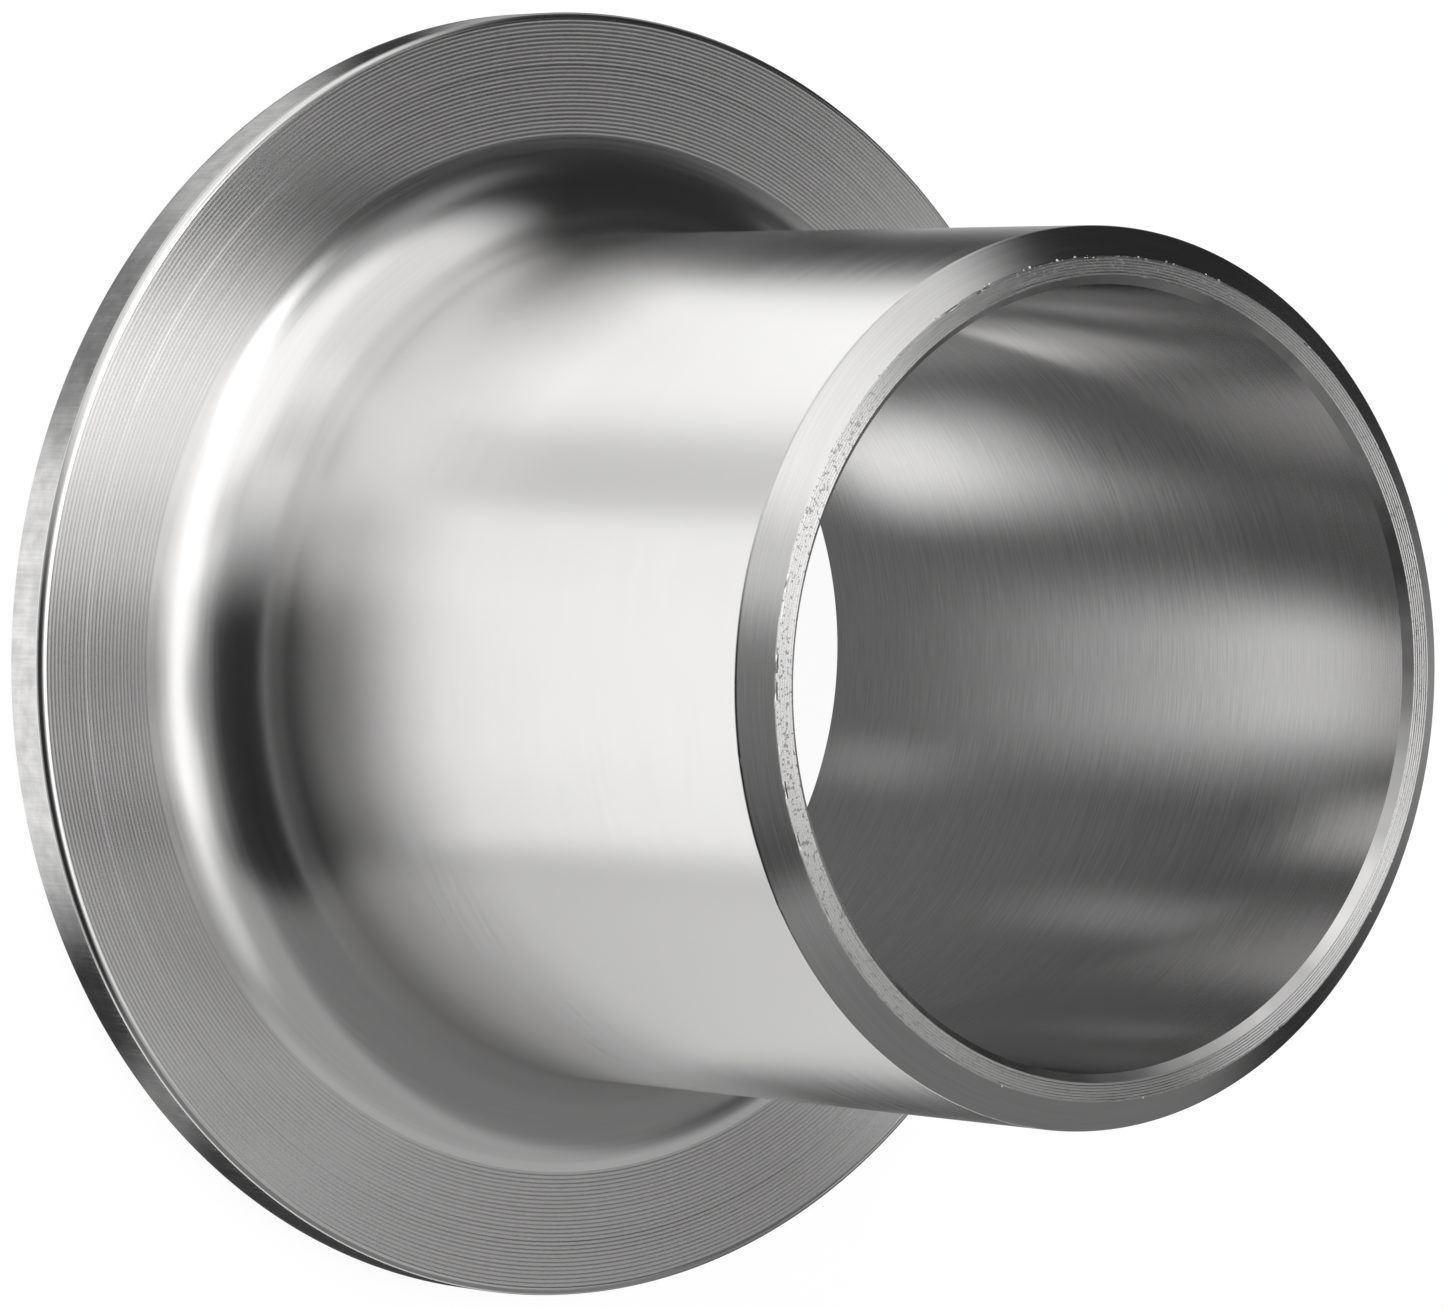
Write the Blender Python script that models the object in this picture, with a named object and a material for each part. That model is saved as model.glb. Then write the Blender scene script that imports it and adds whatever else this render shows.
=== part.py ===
"""Lap-joint stub end, DN 50, schedule 40S wall, short pattern.

One solid of revolution: a thin round lap at the foot, a radiused neck, a straight pipe barrel and,
at the top, an end prepared for a butt weld. A loose flange slides over the barrel and bears on the
back of the lap, and a gasket seals on the lap's front face, which lies on z = 0.

Metres, +Z up. The Z axis is the pipe's axis.
"""

import math

import bmesh
import bpy
from mathutils import Vector

# Pipe
barrel_diameter = 0.0603
wall = 0.00391
overall_length = 0.0635

# Lap
lap_diameter = 0.0921
lap_thickness = 0.0040
rim_round = 0.00055
gasket_edge_chamfer = 0.00035
neck_radius = 0.0070
bore_edge_break = 0.0002

# Weld end
bevel_angle = math.radians(37.5)
root_face = 0.00123
inner_chamfer = 0.00056

# Fineness of the facets
turn_steps = 128
neck_arc_steps = 12
rim_arc_steps = 4

# Most of the flat back of the lap that the neck may take up, as a share of it
neck_limit_share = 0.9

# Edges that bend more than this stay crisp, in smooth shading
crisp_edge_angle = math.radians(25.0)


def arc(centre_r, centre_z, radius, start, end, steps):
    """Points of an arc in the profile plane, from angle start to angle end, both ends included."""
    points = []
    for step in range(steps + 1):
        angle = start + (end - start) * step / steps
        points.append((centre_r + radius * math.cos(angle), centre_z + radius * math.sin(angle)))
    return points


def stub_end_profile():
    """Closed outline (radius, height) of the wall, from the weld end down the outside and up the bore."""
    barrel_r = barrel_diameter / 2
    bore_r = barrel_r - wall
    lap_r = lap_diameter / 2
    rim_r = min(rim_round, lap_thickness - gasket_edge_chamfer)
    lap_back_r = lap_r - rim_r
    neck_r = min(neck_radius, neck_limit_share * (lap_back_r - barrel_r))

    # Weld end: a root face between the outer bevel and the inner chamfer
    root_inner_r = bore_r + inner_chamfer
    root_outer_r = root_inner_r + root_face
    bevel_height = (barrel_r - root_outer_r) * math.tan(bevel_angle)
    weld_end = [
        (root_inner_r, overall_length),
        (root_outer_r, overall_length),
        (barrel_r, overall_length - bevel_height),
    ]

    # Neck: a quarter round that runs from the barrel out to the back of the lap
    neck = arc(barrel_r + neck_r, lap_thickness + neck_r, neck_r, math.pi, 1.5 * math.pi, neck_arc_steps)

    # Rim: rounded towards the barrel, chamfered towards the gasket
    rim = arc(lap_back_r, lap_thickness - rim_r, rim_r, 0.5 * math.pi, 0.0, rim_arc_steps)
    rim.append((lap_r, gasket_edge_chamfer))

    gasket_face = [(lap_r - gasket_edge_chamfer, 0.0), (bore_r + bore_edge_break, 0.0)]
    bore = [(bore_r, bore_edge_break), (bore_r, overall_length - inner_chamfer)]

    return weld_end + neck + rim + gasket_face + bore


def turned_mesh(name, profile):
    """Turn a closed outline about the Z axis into one closed, smooth-shaded body."""
    shape = bmesh.new()
    corners = [shape.verts.new((radius, 0.0, height)) for radius, height in profile]
    outline = [shape.edges.new((corner, corners[index - 1])) for index, corner in enumerate(corners)]
    bmesh.ops.spin(
        shape,
        geom=corners + outline,
        cent=Vector(),
        axis=Vector((0.0, 0.0, 1.0)),
        angle=2 * math.pi,
        steps=turn_steps,
        use_merge=True,
    )
    bmesh.ops.recalc_face_normals(shape, faces=shape.faces)
    mesh = bpy.data.meshes.new(name)
    shape.to_mesh(mesh)
    shape.free()
    mesh.shade_smooth()
    mesh.set_sharp_from_angle(angle=crisp_edge_angle)
    return mesh


def stainless_steel():
    """Machined stainless steel, satin and slightly warm."""
    steel = bpy.data.materials.new("stainless_steel")
    steel.use_nodes = True
    shader = steel.node_tree.nodes["Principled BSDF"]
    shader.inputs["Base Color"].default_value = (0.62, 0.61, 0.60, 1.0)
    shader.inputs["Metallic"].default_value = 1.0
    shader.inputs["Roughness"].default_value = 0.28
    return steel


def build():
    for old in list(bpy.data.objects):
        bpy.data.objects.remove(old, do_unlink=True)
    mesh = turned_mesh("stub_end", stub_end_profile())
    mesh.materials.append(stainless_steel())
    stub_end = bpy.data.objects.new("stub_end", mesh)
    bpy.context.scene.collection.objects.link(stub_end)


build()
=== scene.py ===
import math
import random

import bmesh
import bpy
from mathutils import Matrix, Vector


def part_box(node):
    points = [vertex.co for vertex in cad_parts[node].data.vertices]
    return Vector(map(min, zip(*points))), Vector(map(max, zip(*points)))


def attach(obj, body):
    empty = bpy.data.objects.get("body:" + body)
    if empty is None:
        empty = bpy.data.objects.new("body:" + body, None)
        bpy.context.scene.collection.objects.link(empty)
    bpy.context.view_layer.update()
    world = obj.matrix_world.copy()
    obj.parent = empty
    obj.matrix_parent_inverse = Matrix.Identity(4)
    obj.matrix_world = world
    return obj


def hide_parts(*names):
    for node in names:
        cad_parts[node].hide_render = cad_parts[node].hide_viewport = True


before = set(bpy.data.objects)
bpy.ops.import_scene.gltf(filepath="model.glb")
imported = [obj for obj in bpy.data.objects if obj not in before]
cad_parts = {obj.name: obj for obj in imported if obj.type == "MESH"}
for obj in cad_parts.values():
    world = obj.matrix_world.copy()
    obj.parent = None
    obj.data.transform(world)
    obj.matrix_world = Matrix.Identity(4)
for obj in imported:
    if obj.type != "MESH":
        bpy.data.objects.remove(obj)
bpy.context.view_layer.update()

mm = 0.001
mergeDistance = 1e-7
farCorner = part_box("stub_end")[1]
lapRadius = farCorner[0]
partLength = farCorner[2]
print("frame loaded, lap radius", round(lapRadius / mm, 2), "mm, length", round(partLength / mm, 2), "mm")


# The stub end: sizes in metres, the lap's radius and the length come from the frame
stubEnd = {
    "barrelRadius": 30.15 * mm,
    "wall": 3.91 * mm,
    "lapThickness": 4.0 * mm,
    "neckRadius": 7.0 * mm,
    "neckSegments": 22,
    "rimRound": 0.55 * mm,
    "rimSegments": 6,
    "bluntSegments": 2,
    "gasketChamfer": 0.35 * mm,
    "boreEdgeBreak": 0.2 * mm,
    "rootFace": 1.23 * mm,
    "innerChamfer": 0.56 * mm,
    "bevelAngle": math.radians(37.5),
    # extra loops on the bevel and below it keep the faults of its edges to themselves
    "bevelGuardShares": (0.07, 0.95),
    "barrelGuard": 0.14 * mm,
    "turnSteps": 300,
    "crispAngle": math.radians(22.0),
    "seed": 11,
}

# Rings that the turning tool left: pitch, depth at the inner and outer edge, points on each ring,
# how unequal they are and where across a ring its valley lies
lapRings = {
    "pitch": 0.30 * mm,
    "depth": (0.013 * mm, 0.016 * mm),
    "points": 5,
    "uneven": 0.12,
    "valley": 0.8,
}
rootRings = {
    "pitch": 0.205 * mm,
    "depth": (0.034 * mm, 0.034 * mm),
    "points": 5,
    "uneven": 0.4,
    "valley": 0.8,
}
gasketRings = {
    "pitch": 0.80 * mm,
    "depth": (0.040 * mm, 0.040 * mm),
    "points": 3,
    "uneven": 0.0,
    "valley": 0.5,
}

# Small faults along the turned edges: how far the edge is blunted, its fine waver, the deepest nick
# and the chance of one
edgeFaults = {
    "rootOuter": {"blunt": 0.090 * mm, "waver": 0.020 * mm, "nick": 0.060 * mm, "chance": 0.12},
    "bevelFoot": {"blunt": 0.060 * mm, "waver": 0.003 * mm, "nick": 0.050 * mm, "chance": 0.05},
}
crownShare = 0.7  # of the blunted width, what counts as the crown
inwardShare = 0.6  # of a fault's depth, how far it also moves towards the axis

# Grains of metal on the root face's outer edge
burrs = {
    "size": (0.08 * mm, 0.15 * mm),
    "proud": 0.1,  # how far out and how deep its middle lies, in shares of its size
    "sunk": 1.05,
    "lean": 0.5,  # radians, to either side
    "length": (1.2, 2.0),
    "flatness": 0.7,
    "clusters": [
        # azimuth, spread in degrees, grains
        (-43, 1.5, 3),
        (-48, 1.5, 4),
        (-55, 2.0, 7),
        (-65, 1.5, 7),
        (-72, 1.2, 6),
        (-77, 1.2, 6),
        (-81, 1.5, 8),
        (-90, 8.0, 14),
        (-104, 6.0, 5),
        (60, 40.0, 6),
        (150, 30.0, 4),
    ],
}


def outlineOf(shape, corners):
    verts = [shape.verts.new((radius, 0.0, height)) for radius, height in corners]
    for index, vert in enumerate(verts):
        shape.edges.new((vert, verts[index - 1]))


def turnRound(shape, steps):
    bmesh.ops.spin(
        shape, geom=shape.verts[:] + shape.edges[:], cent=(0, 0, 0), axis=(0, 0, 1),
        angle=2 * math.pi, steps=steps, use_merge=True,
    )
    bmesh.ops.remove_doubles(shape, verts=shape.verts[:], dist=mergeDistance)


def roundCorner(shape, vert, radius, segments):
    bmesh.ops.bevel(
        shape, geom=[vert], offset=radius, segments=segments, profile=0.5, affect="VERTICES", material=-1,
    )


def turnRings(shape, height, inner, outer, rings, into, dice):
    # cuts the straight edge at this height into rings and sinks each one between its crests
    slack = 10 * mergeDistance
    edge = next(
        e for e in shape.edges
        if all(
            abs(v.co.z - height) < mergeDistance and inner - slack < v.co.x < outer + slack for v in e.verts
        )
        and e.calc_length() > rings["pitch"]
    )
    ends = sorted(v.co.x for v in edge.verts)
    count = max(1, round((ends[1] - ends[0]) / rings["pitch"]))
    first, last = rings["depth"]
    valley = rings["valley"]
    depths = []
    for ring in range(count):
        depth = first + (last - first) * ring / count
        depths.append(depth * (1 + rings["uneven"] * dice.uniform(-1, 1)))
    cut = bmesh.ops.subdivide_edges(shape, edges=[edge], cuts=count * rings["points"] - 1)
    crestSnap = 1e-4  # so that a crest counts to the ring that it starts
    for vert in [g for g in cut["geom_inner"] if isinstance(g, bmesh.types.BMVert)]:
        along = (vert.co.x - ends[0]) / (ends[1] - ends[0]) * count
        share = along - math.floor(along + crestSnap)
        ring = min(count - 1, int(along + crestSnap))
        away = (valley - share) / valley if share < valley else (share - valley) / (1 - valley)
        vert.co.z += into * depths[ring] * (1 - away * away)


def wearEdge(shape, radius, height, fault, dice):
    # the points on the crown of a blunted corner waver and are nicked, always into the metal
    crown = [
        v for v in shape.verts
        if math.hypot(math.hypot(v.co.x, v.co.y) - radius, v.co.z - height) < fault["blunt"] * crownShare
    ]
    for vert in crown:
        depth = fault["waver"] * dice.random()
        if dice.random() < fault["chance"]:
            depth += fault["nick"] * dice.random()
        vert.co.z -= depth
        vert.co.x *= 1 - inwardShare * depth / radius
        vert.co.y *= 1 - inwardShare * depth / radius
    return len(crown)


def turnedBody():
    sizes = stubEnd
    barrelR = sizes["barrelRadius"]
    boreR = barrelR - sizes["wall"]
    rootInner = boreR + sizes["innerChamfer"]
    rootOuter = rootInner + sizes["rootFace"]
    bevelFoot = partLength - (barrelR - rootOuter) * math.tan(sizes["bevelAngle"])
    dice = random.Random(sizes["seed"])
    nearRoot, nearFoot = sizes["bevelGuardShares"]

    def alongBevel(share):
        return (rootOuter + (barrelR - rootOuter) * share, partLength + (bevelFoot - partLength) * share)

    shape = bmesh.new()
    shape.faces.layers.int.new("burr")
    corners = [
        (rootInner, partLength),
        (rootOuter, partLength),
        alongBevel(nearRoot),
        alongBevel(nearFoot),
        (barrelR, bevelFoot),
        (barrelR, bevelFoot - sizes["barrelGuard"]),
        (barrelR, sizes["lapThickness"]),  # becomes the neck
        (lapRadius, sizes["lapThickness"]),  # becomes the rim's round
        (lapRadius, sizes["gasketChamfer"]),
        (lapRadius - sizes["gasketChamfer"], 0.0),
        (boreR + sizes["boreEdgeBreak"], 0.0),
        (boreR, sizes["boreEdgeBreak"]),
        (boreR, partLength - sizes["innerChamfer"]),
    ]
    outlineOf(shape, corners)
    rounds = [
        (corners[6], sizes["neckRadius"], sizes["neckSegments"]),
        (corners[7], sizes["rimRound"], sizes["rimSegments"]),
        (corners[1], edgeFaults["rootOuter"]["blunt"], sizes["bluntSegments"]),
        (corners[4], edgeFaults["bevelFoot"]["blunt"], sizes["bluntSegments"]),
    ]
    for (radius, height), size, segments in rounds:
        corner = min(shape.verts, key=lambda v: (v.co - Vector((radius, 0, height))).length)
        roundCorner(shape, corner, size, segments)

    turnRings(shape, sizes["lapThickness"], barrelR, lapRadius, lapRings, -1, dice)
    turnRings(shape, partLength, rootInner, rootOuter, rootRings, -1, dice)
    turnRings(shape, 0.0, boreR, lapRadius, gasketRings, 1, dice)

    turnRound(shape, sizes["turnSteps"])
    worn = wearEdge(shape, rootOuter, partLength, edgeFaults["rootOuter"], dice)
    worn += wearEdge(shape, barrelR, bevelFoot, edgeFaults["bevelFoot"], dice)
    print("edges worn at", worn, "points")
    print("burr grains", addBurrs(shape, rootOuter, partLength, dice))
    bmesh.ops.recalc_face_normals(shape, faces=shape.faces[:])
    return shape


def addBurrs(shape, radius, height, dice):
    # specks of metal that the facing tool pushed over the edge, in clusters
    mark = shape.faces.layers.int["burr"]
    grains = 0
    for azimuth, spread, count in burrs["clusters"]:
        for _ in range(count):
            angle = math.radians(azimuth + dice.uniform(-spread, spread))
            size = dice.uniform(*burrs["size"])
            away = radius + size * burrs["proud"]
            centre = (math.sin(angle) * away, -math.cos(angle) * away, height - size * burrs["sunk"])
            turn = Matrix.Rotation(dice.uniform(0, math.pi), 4, "Z")
            lean = Matrix.Rotation(dice.uniform(-burrs["lean"], burrs["lean"]), 4, "X")
            stretch = Matrix.Diagonal((1.0, dice.uniform(*burrs["length"]), burrs["flatness"], 1.0))
            placed = Matrix.Translation(centre) @ (turn @ lean) @ stretch
            made = bmesh.ops.create_icosphere(shape, subdivisions=1, radius=size, matrix=placed)
            grains += 1
            for face in {f for v in made["verts"] for f in v.link_faces}:
                face[mark] = 1
    return grains


# Where one finish ends and the next begins
zoneLimits = {
    "wallSlack": 0.01 * mm,
    "rootDepth": 0.05 * mm,  # how far down its turned rings reach
    "level": 0.9,  # least height of a unit normal that counts as level
    "bevelFrom": 50 * mm,
    "gasketHeight": 0.1 * mm,
    "rimRoundShare": 0.95,  # of the round's height
    "lapSlack": 0.001 * mm,
}


def zoneOf(face):
    sizes = stubEnd
    limits = zoneLimits
    centre = face.calc_center_median()
    radius, height = math.hypot(centre.x, centre.y), centre.z
    barrelR = sizes["barrelRadius"]
    boreR = barrelR - sizes["wall"]
    if radius < boreR + limits["wallSlack"]:
        return "bore"
    if height > partLength - sizes["innerChamfer"] and radius < boreR + sizes["innerChamfer"]:
        return "innerEdge"
    if abs(face.normal.z) > limits["level"] and height > partLength - limits["rootDepth"]:
        return "root"
    if height > limits["bevelFrom"] and radius < barrelR - limits["wallSlack"]:
        return "bevel"
    if height < limits["gasketHeight"]:
        return "gasket"
    if radius > lapRadius - sizes["rimRound"]:
        roundFrom = sizes["lapThickness"] - limits["rimRoundShare"] * sizes["rimRound"]
        return "rimRound" if height > roundFrom else "rim"
    if height < sizes["lapThickness"] + limits["lapSlack"]:
        return "lap"
    return "barrel"


# Materials
def addNode(tree, kind, inputs=None, **settings):
    node = tree.nodes.new(kind)
    for name, value in settings.items():
        setattr(node, name, value)
    for name, value in (inputs or {}).items():
        if isinstance(value, bpy.types.NodeSocket):
            tree.links.new(value, node.inputs[name])
        else:
            node.inputs[name].default_value = value
    return node


def calc(tree, operation, *values):
    return addNode(tree, "ShaderNodeMath", dict(enumerate(values)), operation=operation).outputs[0]


def ranged(tree, value, source, target, **settings):
    return addNode(tree, "ShaderNodeMapRange", {
        "Value": value,
        "From Min": source[0], "From Max": source[1],
        "To Min": target[0], "To Max": target[1],
    }, **settings).outputs[0]


def objectPlace(tree):
    return addNode(tree, "ShaderNodeTexCoord").outputs["Object"]


def axisPlace(tree):
    # x, y, z, the place seen along the axis and its distance from the axis
    x, y, z = addNode(tree, "ShaderNodeSeparateXYZ", {0: objectPlace(tree)}).outputs
    flat = addNode(tree, "ShaderNodeCombineXYZ", {0: x, 1: y}).outputs[0]
    radius = addNode(tree, "ShaderNodeVectorMath", {0: flat}, operation="LENGTH").outputs["Value"]
    return x, y, z, flat, radius


def turnedSpace(tree, around, along):
    # a place on the part as (round the axis, round the axis, along the turned outline)
    _, _, z, flat, radius = axisPlace(tree)
    unit = addNode(tree, "ShaderNodeVectorMath", {0: flat}, operation="NORMALIZE").outputs[0]
    unitX, unitY, _ = addNode(tree, "ShaderNodeSeparateXYZ", {0: unit}).outputs
    path = calc(tree, "SUBTRACT", z, radius)
    return addNode(tree, "ShaderNodeCombineXYZ", {
        0: calc(tree, "MULTIPLY", unitX, around),
        1: calc(tree, "MULTIPLY", unitY, around),
        2: calc(tree, "MULTIPLY", path, along),
    }).outputs[0]


# Each finish: its tone, how much its lines stray from it, the least and most roughness, how far
# highlights are drawn out, the scale of the lines round and along the outline, their depth in mm
steelLooks = {
    "barrel": {
        "color": 0.84, "lines": 0.02, "roughness": (0.20, 0.24), "anisotropic": 0.82,
        "around": 3, "along": 4000, "bump": 0.0008,
    },
    "lap": {
        "color": 0.78, "lines": 0.03, "roughness": (0.21, 0.25), "anisotropic": 0.88,
        "around": 3, "along": 8000, "bump": 0.0006,
    },
    "rim": {
        "color": 0.76, "lines": 0.09, "roughness": (0.14, 0.28), "anisotropic": 0.0,
        "around": 180, "along": 140, "bump": 0.003, "clouds": 0.15,
    },
    "rimRound": {
        "color": 0.92, "lines": 0.05, "roughness": (0.16, 0.22), "anisotropic": 0.3,
        "around": 6, "along": 6000, "bump": 0.001,
    },
    "bevel": {
        "color": 0.76, "lines": 0.05, "roughness": (0.18, 0.22), "anisotropic": 0.4,
        "around": 4, "along": 6000, "bump": 0.001,
    },
    "root": {
        "color": 0.80, "lines": 0.10, "roughness": (0.30, 0.40), "anisotropic": 0.85,
        "around": 6, "along": 8000, "bump": 0.004, "flecks": (0.60, 0.65),
    },
    "innerEdge": {
        "color": 0.74, "lines": 0.45, "roughness": (0.25, 0.40), "anisotropic": 0.2,
        "around": 2, "along": 5000, "bump": 0.004,
    },
    "burr": {
        "color": 0.97, "lines": 0.02, "roughness": (0.35, 0.50), "anisotropic": 0.0,
        "around": 100, "along": 6000, "bump": 0.004,
    },
    "bore": {
        "color": 0.66, "lines": 0.12, "roughness": (0.11, 0.15), "anisotropic": 0.5,
        "around": 7, "along": 11000, "bump": 0.0012,
    },
    "gasket": {
        "color": 0.74, "lines": 0.06, "roughness": (0.22, 0.30), "anisotropic": 0.5,
        "around": 4, "along": 6000, "bump": 0.004,
    },
}
# What all finishes share: the noise of their lines, flecks and clouds, the part of the noise that
# counts, the quarter turn that lays highlights across the lines, and a trace of warmth
steelGrain = {
    "lineDetail": 3.0,
    "lineRoughness": 0.6,
    "counts": (0.3, 0.7),
    "lineTurn": 0.25,
    "fleckScale": 4200.0,
    "fleckDetail": 1.0,
    "fleckRoughness": 0.35,
    "cloudScale": 700.0,
    "cloudDetail": 4.0,
    "green": 0.99,
    "blue": 0.985,
}
# The neck, formed and polished, is smoother than the drawn barrel above it
neckPolish = {"share": 0.86, "from": 7.0 * mm, "to": 16.0 * mm}


def steel(zone):
    look = steelLooks[zone]
    shared = steelGrain
    counts = shared["counts"]
    material = bpy.data.materials.new("steel_" + zone)
    material.use_nodes = True
    tree = material.node_tree
    shader = tree.nodes["Principled BSDF"]
    shader.inputs["Metallic"].default_value = 1.0
    shader.inputs["Anisotropic"].default_value = look["anisotropic"]
    shader.inputs["Anisotropic Rotation"].default_value = shared["lineTurn"]
    lines = addNode(tree, "ShaderNodeTexNoise", {
        "Vector": turnedSpace(tree, look["around"], look["along"]),
        "Scale": 1.0, "Detail": shared["lineDetail"], "Roughness": shared["lineRoughness"],
    }).outputs[0]
    rough = ranged(tree, lines, counts, look["roughness"])
    if zone == "barrel":
        height = addNode(tree, "ShaderNodeSeparateXYZ", {0: objectPlace(tree)}).outputs[2]
        blend = (neckPolish["from"], neckPolish["to"])
        polish = ranged(tree, height, blend, (neckPolish["share"], 1.0), interpolation_type="SMOOTHSTEP")
        rough = calc(tree, "MULTIPLY", rough, polish)
    if "flecks" in look:
        # small dull spots, where the noise passes a threshold
        grain = addNode(tree, "ShaderNodeTexNoise", {
            "Vector": objectPlace(tree), "Scale": shared["fleckScale"], "Detail": shared["fleckDetail"],
        }).outputs[0]
        spot = ranged(tree, grain, look["flecks"], (0.0, 1.0))
        rough = calc(tree, "ADD", rough, calc(tree, "MULTIPLY", spot, shared["fleckRoughness"]))
    tree.links.new(rough, shader.inputs["Roughness"])
    # brush lines are a little darker and lighter than the metal around them
    tone = ranged(tree, lines, counts, (
        look["color"] * (1 - look["lines"]),
        look["color"] * (1 + look["lines"]),
    ))
    if "clouds" in look:
        clouds = addNode(tree, "ShaderNodeTexNoise", {
            "Vector": objectPlace(tree), "Scale": shared["cloudScale"], "Detail": shared["cloudDetail"],
        }).outputs[0]
        tone = calc(tree, "MULTIPLY", tone, ranged(
            tree, clouds, counts, (1 - look["clouds"], 1 + look["clouds"]),
        ))
    tint = addNode(tree, "ShaderNodeCombineColor", {
        0: tone,
        1: calc(tree, "MULTIPLY", tone, shared["green"]),
        2: calc(tree, "MULTIPLY", tone, shared["blue"]),
    }).outputs[0]
    tree.links.new(tint, shader.inputs["Base Color"])
    bump = addNode(tree, "ShaderNodeBump", {
        "Height": lines, "Strength": 1.0, "Distance": look["bump"] * mm,
    }).outputs[0]
    tree.links.new(bump, shader.inputs["Normal"])
    return material


def makeObject(name, shape, materials):
    mesh = bpy.data.meshes.new(name)
    shape.to_mesh(mesh)
    shape.free()
    for material in materials:
        mesh.materials.append(material)
    made = bpy.data.objects.new(name, mesh)
    bpy.context.scene.collection.objects.link(made)
    return made


def makeStubEnd():
    shape = turnedBody()
    zones = list(steelLooks)
    mark = shape.faces.layers.int["burr"]
    for face in shape.faces:
        face.material_index = zones.index("burr" if face[mark] else zoneOf(face))
        face.smooth = True
    piece = makeObject("stubEnd", shape, [steel(zone) for zone in zones])
    mesh = piece.data
    mesh.set_sharp_from_angle(angle=stubEnd["crispAngle"])
    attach(piece, "root")
    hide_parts("stub_end")
    counts = [sum(1 for p in mesh.polygons if p.material_index == i) for i in range(len(zones))]
    print("stub end turned:", len(mesh.polygons), "faces", dict(zip(zones, counts)))


makeStubEnd()


# The studio: azimuth 0 is towards the camera and grows towards +X, angles in degrees
studio = {
    "room": 0.02,
    # the floor's own glow, the veil that a shadow can take away, its tone as matt surfaces see it
    "floor": {"size": 6.0, "glow": 0.93, "veil": 0.16, "matt": 0.8},
    "cardSteps": 120,
    "boxes": [
        # name, azimuth, width, soft edge, elevation, height, soft edge, level; 400 is all the way round
        ("topCap", 0, 400, 8, 86, 16, 4, 1.40),
        ("topKey", -100, 160, 16, 72, 12, 4, 1.28),
        ("topHot", -148, 36, 8, 68.2, 10, 2, 1.15),
        ("topRest", 80, 200, 16, 72, 12, 4, 0.50),
        ("topNear", -10, 30, 14, 72, 12, 4, 0.40),
        ("topSide", 50, 36, 12, 72, 12, 6, 0.45),
        ("topFar", 112, 40, 12, 70, 8, 4, 0.25),
        ("topGlint", 98, 60, 16, 76, 6, 4, 0.60),
        ("topBack", 171, 24, 8, 71, 11, 4, 0.75),
        ("highKey", -70, 60, 24, 51, 30, 6, 0.60),
        ("highSide", -59, 90, 28, 51, 30, 6, 0.50),
        ("lowKey", -78, 56, 22, 12, 48, 6, 0.80),
        ("leftGlow", -120, 24, 20, 54, 20, 8, 0.28),
        ("lowSide", -35, 30, 36, 12, 48, 6, 0.80),
        ("midKey", -60, 58, 30, -24, 26, 8, 0.28),
        ("waistFill", 0, 282, 10, -27, 30, 6, 0.30),
        ("backFill", 180, 56, 8, 15, 26, 4, 0.40),
        ("sideFill", 104, 96, 12, 18, 60, 10, 0.16),
        ("farFill", 112, 108, 16, 55, 22, 6, 0.32),
        ("frontGlow", -32, 34, 14, 51, 14, 8, 0.14),
        ("cameraFill", 12, 80, 14, 58, 16, 8, 0.23),
        ("underKey", -90, 52, 16, -65, 50, 12, 1.25),
        ("underGap", -50, 30, 8, -63, 54, 10, 0.70),
        ("underFront", 8, 88, 10, -65, 50, 8, 1.20),
        ("underFill", 91, 78, 12, -58, 64, 20, 0.68),
        ("farBack", -179, 24, 8, 25, 46, 8, 0.78),
        ("backRise", 172, 16, 6, 57, 18, 6, 0.50),
        ("underRim", -174, 34, 26, -48, 26, 10, 0.85),
        ("underBack", 178, 20, 16, -22, 34, 16, 0.11),
        ("underGlint", 180, 10, 12, -22, 34, 16, 0.12),
    ],
    # cards that only the metal reflects, glowing with painted light and shade: one round the foot of the
    # rim, one far below the bore
    "cards": {
        # the rim card is painted shade of the floor round the rim's foot, dark in its tone, with painted
        # light in its patches
        "rimCard": {"inner": 46.2 * mm, "outer": 49.4 * mm, "height": 0.1 * mm, "tone": 0.05},
        # the bore card is painted light and shade that the bore reflects through its open end, dim in its
        # tone, bright in its patches
        "boreCard": {"inner": 0.0, "outer": 88 * mm, "height": -60 * mm, "tone": 0.08},
    },
    "patches": [
        # card, azimuth, width, radius, reach, soft edges in degrees and millimetres, level of painted light
        ("rimCard", -81, 12, 48, 10, 10, 2, 0.34),
        ("rimCard", -50, 22, 48, 10, 12, 2, 0.50),
        ("rimCard", -30, 18, 48, 10, 8, 2, 0.20),
        ("rimCard", 3, 42, 48, 10, 16, 2, 0.88),
        ("rimCard", 46, 9, 48, 10, 8, 2, 0.18),
        ("boreCard", 0, 400, 20, 90, 20, 60, 0.08),
        ("boreCard", 2, 60, 100, 110, 36, 40, 0.42),
        ("boreCard", 5, 42, 100, 68, 24, 12, 0.36),
        ("boreCard", 90, 42, 38.5, 15, 34, 7, 0.52),
        ("boreCard", 90, 42, 43.0, 24, 34, 7, 0.48),
        ("boreCard", 180, 92, 26, 14, 44, 6, 1.05),
        ("boreCard", 72, 16, 60, 16, 12, 10, 0.08),
        ("boreCard", 140, 24, 57, 20, 16, 10, 0.13),
        ("boreCard", -43, 20, 28, 12, 16, 8, 0.16),
        ("boreCard", -88, 16, 68, 22, 12, 16, 0.15),
    ],
}


def direction(azimuth, elevation):
    around = math.radians(azimuth)
    up = math.radians(elevation)
    return Vector((math.sin(around) * math.cos(up), -math.cos(around) * math.cos(up), math.sin(up)))


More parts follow.
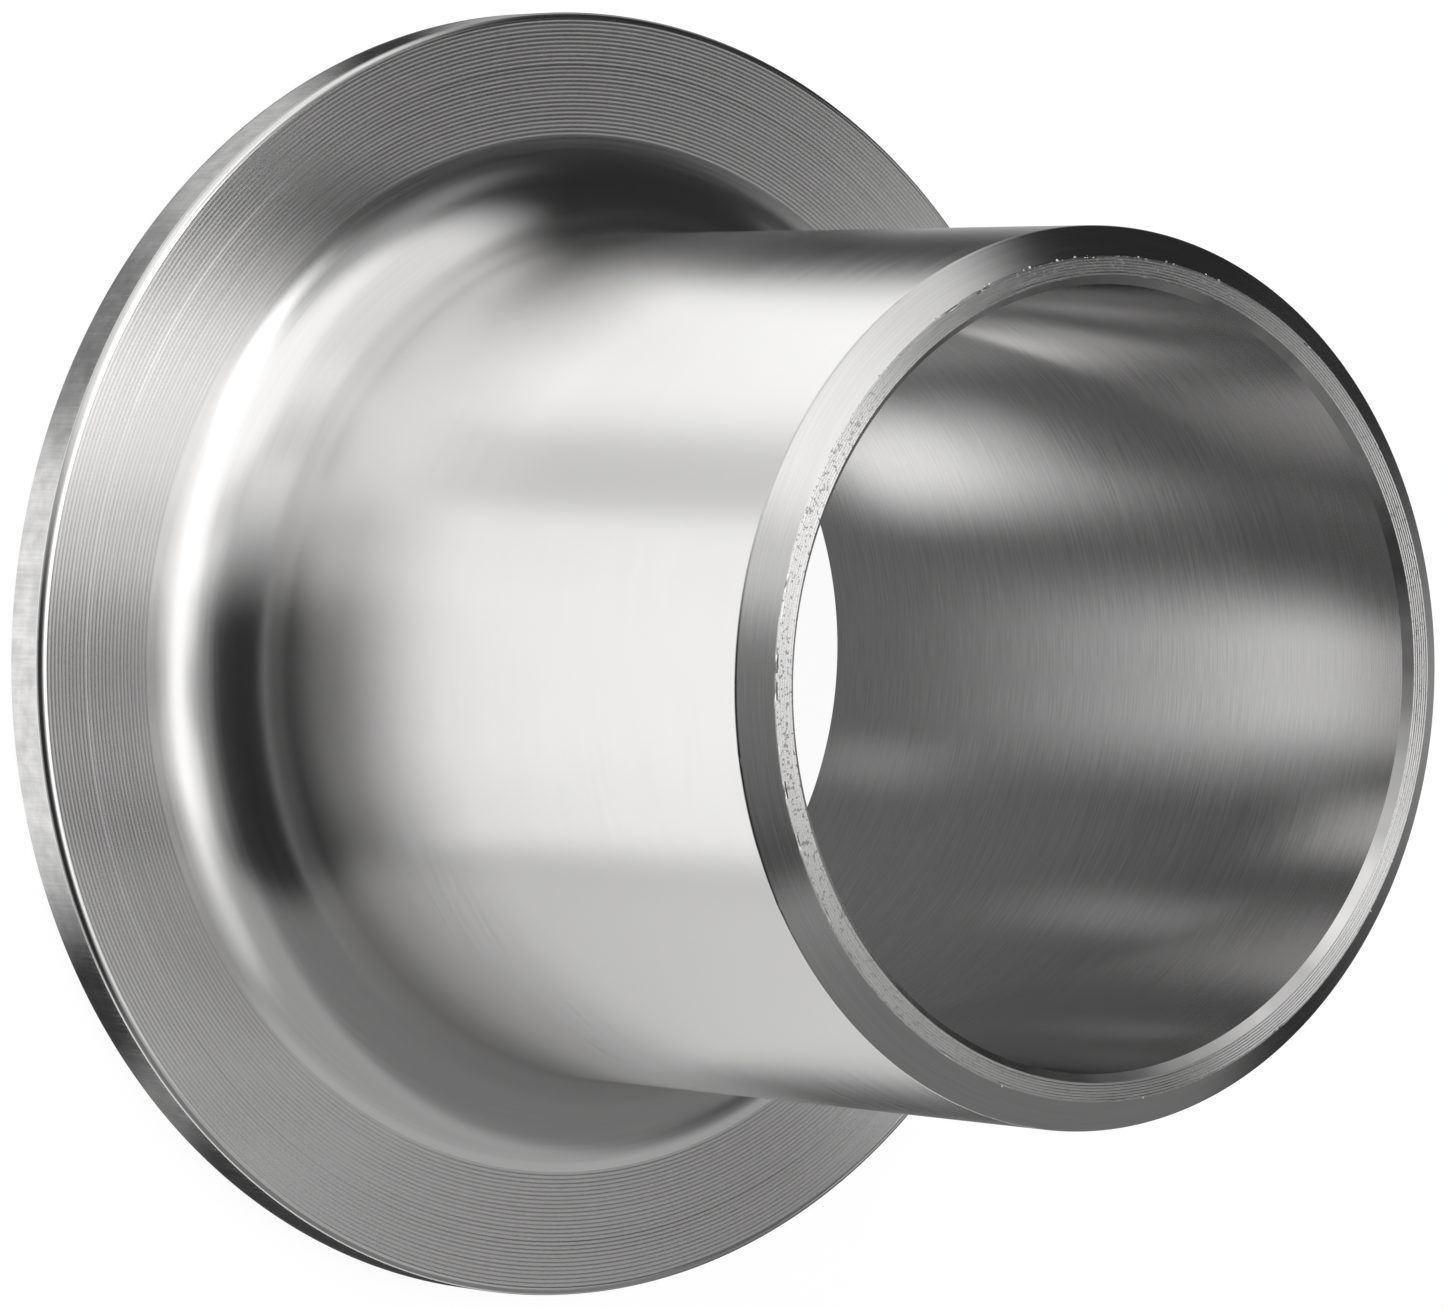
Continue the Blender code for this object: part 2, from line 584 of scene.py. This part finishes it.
def window(tree, away, width, soft):
    # 1 inside the width, fading to 0 across the soft edge
    edge = (width / 2 - soft / 2, width / 2 + soft / 2)
    return ranged(tree, calc(tree, "ABSOLUTE", away), edge, (1.0, 0.0), interpolation_type="SMOOTHSTEP")


def azimuthWindow(tree, x, y, centre, width, soft):
    azimuth = calc(tree, "DEGREES", calc(tree, "ARCTAN2", x, calc(tree, "MULTIPLY", y, -1.0)))
    away = calc(tree, "WRAP", calc(tree, "SUBTRACT", azimuth, float(centre)), 180.0, -180.0)
    return window(tree, away, width, soft)


def softPatch(tree, across, along, level):
    return calc(tree, "MULTIPLY", calc(tree, "MULTIPLY", across, along), level)


def studioLight(tree, base, patches):
    total = base
    for patch in patches:
        total = calc(tree, "ADD", patch, total)
    return total


def emptyMaterial(name):
    material = bpy.data.materials.new(name)
    material.use_nodes = True
    material.node_tree.nodes.clear()
    return material


def showSurface(tree, surface):
    out = addNode(tree, "ShaderNodeOutputMaterial")
    tree.links.new(surface, out.inputs["Surface"])


def diffuse(tree, tone):
    return addNode(tree, "ShaderNodeBsdfDiffuse", {"Color": (tone, tone, tone, 1)}).outputs[0]


def floorMaterial():
    floor = studio["floor"]
    material = emptyMaterial("paleFloor")
    tree = material.node_tree
    path = addNode(tree, "ShaderNodeLightPath").outputs
    mirrored = calc(tree, "MAXIMUM", path["Is Camera Ray"], path["Is Glossy Ray"])
    seen = calc(tree, "MAXIMUM", mirrored, path["Is Transmission Ray"])
    # seen directly it is white, and only the part's shadow takes a little away
    white = addNode(tree, "ShaderNodeEmission", {
        "Color": (1, 1, 1, 1), "Strength": floor["glow"],
    }).outputs[0]
    bright = addNode(tree, "ShaderNodeAddShader", {0: white, 1: diffuse(tree, floor["veil"])}).outputs[0]
    chosen = addNode(tree, "ShaderNodeMixShader", {0: seen, 1: diffuse(tree, floor["matt"]), 2: bright})
    showSurface(tree, chosen.outputs[0])
    return material


def cardMaterial(card):
    material = emptyMaterial(card)
    tree = material.node_tree
    x, y, _, _, radius = axisPlace(tree)
    patches = []
    for name, azimuth, width, middle, reach, softAngle, softReach, level in studio["patches"]:
        if name == card:
            across = azimuthWindow(tree, x, y, azimuth, width, softAngle)
            along = window(tree, calc(tree, "SUBTRACT", radius, middle * mm), reach * mm, softReach * mm)
            patches.append(softPatch(tree, across, along, level))
    # a card's glow is painted light and shade, seen only in the metal's reflections: its dim tone with the
    # patches' levels added
    light = studioLight(tree, studio["cards"][card]["tone"], patches)
    showSurface(tree, addNode(tree, "ShaderNodeEmission", {"Strength": light}).outputs[0])
    return material


def flatSheet(name, size, height, material):
    shape = bmesh.new()
    bmesh.ops.create_grid(shape, x_segments=1, y_segments=1, size=size / 2)
    bmesh.ops.translate(shape, verts=shape.verts, vec=(0, 0, height))
    sheet = makeObject(name, shape, [material])
    return sheet


def ringCard(name):
    card = studio["cards"][name]
    shape = bmesh.new()
    ends = [shape.verts.new((radius, 0.0, card["height"])) for radius in (card["inner"], card["outer"])]
    shape.edges.new(ends)
    turnRound(shape, studio["cardSteps"])
    ring = makeObject(name, shape, [cardMaterial(name)])
    ring.visible_camera = False
    ring.visible_diffuse = False
    ring.visible_shadow = False


def makeStudio():
    floor = flatSheet("floor", studio["floor"]["size"], 0.0, floorMaterial())
    floor.visible_glossy = False  # the metal is lit from below too
    for name in studio["cards"]:
        ringCard(name)
    world = bpy.data.worlds.new("room")
    bpy.context.scene.world = world
    world.use_nodes = True
    tree = world.node_tree
    tree.nodes.clear()
    towards = addNode(tree, "ShaderNodeTexCoord").outputs["Generated"]
    x, y, z = addNode(tree, "ShaderNodeSeparateXYZ", {0: towards}).outputs
    elevation = calc(tree, "DEGREES", calc(tree, "ARCSINE", z))
    patches = []
    for name, azimuth, width, softAcross, middle, height, softAlong, level in studio["boxes"]:
        across = azimuthWindow(tree, x, y, azimuth, width, softAcross)
        along = window(tree, calc(tree, "SUBTRACT", elevation, float(middle)), height, softAlong)
        patches.append(softPatch(tree, across, along, level))
    # the camera sees plain white behind the part, everything else is lit by the windows
    path = addNode(tree, "ShaderNodeLightPath").outputs
    strength = studioLight(tree, studio["room"], patches)
    dim = addNode(tree, "ShaderNodeBackground", {"Color": (1, 1, 1, 1), "Strength": strength}).outputs[0]
    white = addNode(tree, "ShaderNodeBackground", {"Color": (1, 1, 1, 1), "Strength": 1.0}).outputs[0]
    mixed = addNode(tree, "ShaderNodeMixShader", {0: path["Is Camera Ray"], 1: dim, 2: white}).outputs[0]
    out = addNode(tree, "ShaderNodeOutputWorld")
    tree.links.new(mixed, out.inputs["Surface"])
    print("studio set:", len(studio["boxes"]), "windows,", len(studio["patches"]), "patches on the cards")


makeStudio()

# The camera looks down on the standing part and is turned so that the pipe's axis runs to the right
view = {
    "target": (-0.5 * mm, 0.0, 20.9 * mm),
    "distance": 0.6133,
    "azimuth": 0.08,
    "elevation": 52.79,
    "roll": 92.6,
    "focalLength": 217.06,
    "sensorWidth": 36.0,
    "clipStart": 0.05,
}


def makeCamera():
    data = bpy.data.cameras.new("camera")
    data.lens = view["focalLength"]
    data.sensor_width = view["sensorWidth"]
    data.sensor_fit = "HORIZONTAL"
    data.clip_start = view["clipStart"]
    camera = bpy.data.objects.new("camera", data)
    away = direction(view["azimuth"], view["elevation"])
    aim = away.to_track_quat("Z", "Y").to_matrix().to_4x4()
    roll = Matrix.Rotation(math.radians(view["roll"]), 4, "Z")
    place = Vector(view["target"]) + away * view["distance"]
    camera.matrix_world = Matrix.Translation(place) @ (aim @ roll)
    bpy.context.scene.collection.objects.link(camera)
    bpy.context.scene.camera = camera
    print("camera basis", [[round(c, 4) for c in row] for row in camera.matrix_world])


makeCamera()
bpy.context.scene.view_settings.view_transform = "Standard"
